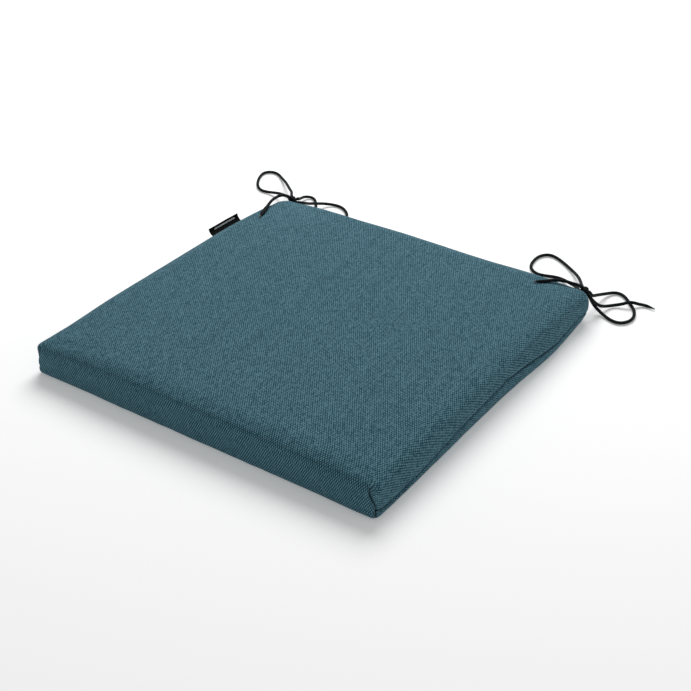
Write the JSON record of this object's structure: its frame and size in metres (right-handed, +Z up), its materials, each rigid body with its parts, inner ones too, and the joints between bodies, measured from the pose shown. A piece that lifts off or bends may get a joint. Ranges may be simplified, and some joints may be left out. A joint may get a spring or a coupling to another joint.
{
  "type": "chair seat pad",
  "caption": "Square foam seat pad in a teal woven zipped cover, with dark cord ties bowed at both back corners and a woven tab in one side seam.",
  "frame": {"origin": "middle of the pad's underside, on the seat it rests on", "axes": "+Z up out of the seat; -Y towards the pad's front edge; +Y towards the back edge with the ties and zip; +X to the sitter's left when seated facing the front, the side without the tab"},
  "size_m": [0.6367, 0.5804, 0.0474],
  "materials": {
    "cover_fabric": "matte",
    "seat_foam": "matte",
    "tie_cord": "matte",
    "label_weave": "satin",
    "zip_tape": "matte",
    "zip_coil": "satin",
    "zip_metal": "satin"
  },
  "bodies": {
    "pad": {"foam_core": "seat_foam", "cover_top_panel": "cover_fabric", "cover_bottom_panel": "cover_fabric", "label_tab": "label_weave", "zip_tape_upper": "zip_tape", "zip_tape_lower": "zip_tape", "zip_coil_upper": "zip_coil", "zip_coil_lower": "zip_coil", "zip_stop_closed_end": "zip_metal", "zip_stop_open_end": "zip_metal", "tie_right_stem_a": "tie_cord", "tie_right_stem_b": "tie_cord", "tie_right_knot": "tie_cord", "tie_right_loop_a": "tie_cord", "tie_right_loop_b": "tie_cord", "tie_right_tail_a": "tie_cord", "tie_right_tail_b": "tie_cord", "tie_left_stem_a": "tie_cord", "tie_left_stem_b": "tie_cord", "tie_left_knot": "tie_cord", "tie_left_loop_a": "tie_cord", "tie_left_loop_b": "tie_cord", "tie_left_tail_a": "tie_cord", "tie_left_tail_b": "tie_cord"},
    "zip_slider_body": {"zip_slider": "zip_metal"},
    "zip_pull_body": {"zip_pull": "zip_metal"}
  },
  "joints": [
    {"name": "zip_travel", "type": "slide", "parent": "pad", "child": "zip_slider_body", "axis": [-1, 0, 0], "range_m": [0, 0.34]},
    {"name": "pull_swing", "type": "hinge", "parent": "zip_slider_body", "child": "zip_pull_body", "pos_m": [0.17, 0.2336, 0.016], "axis": [0, 0, -1], "range_deg": [0, 180]}
  ]
}
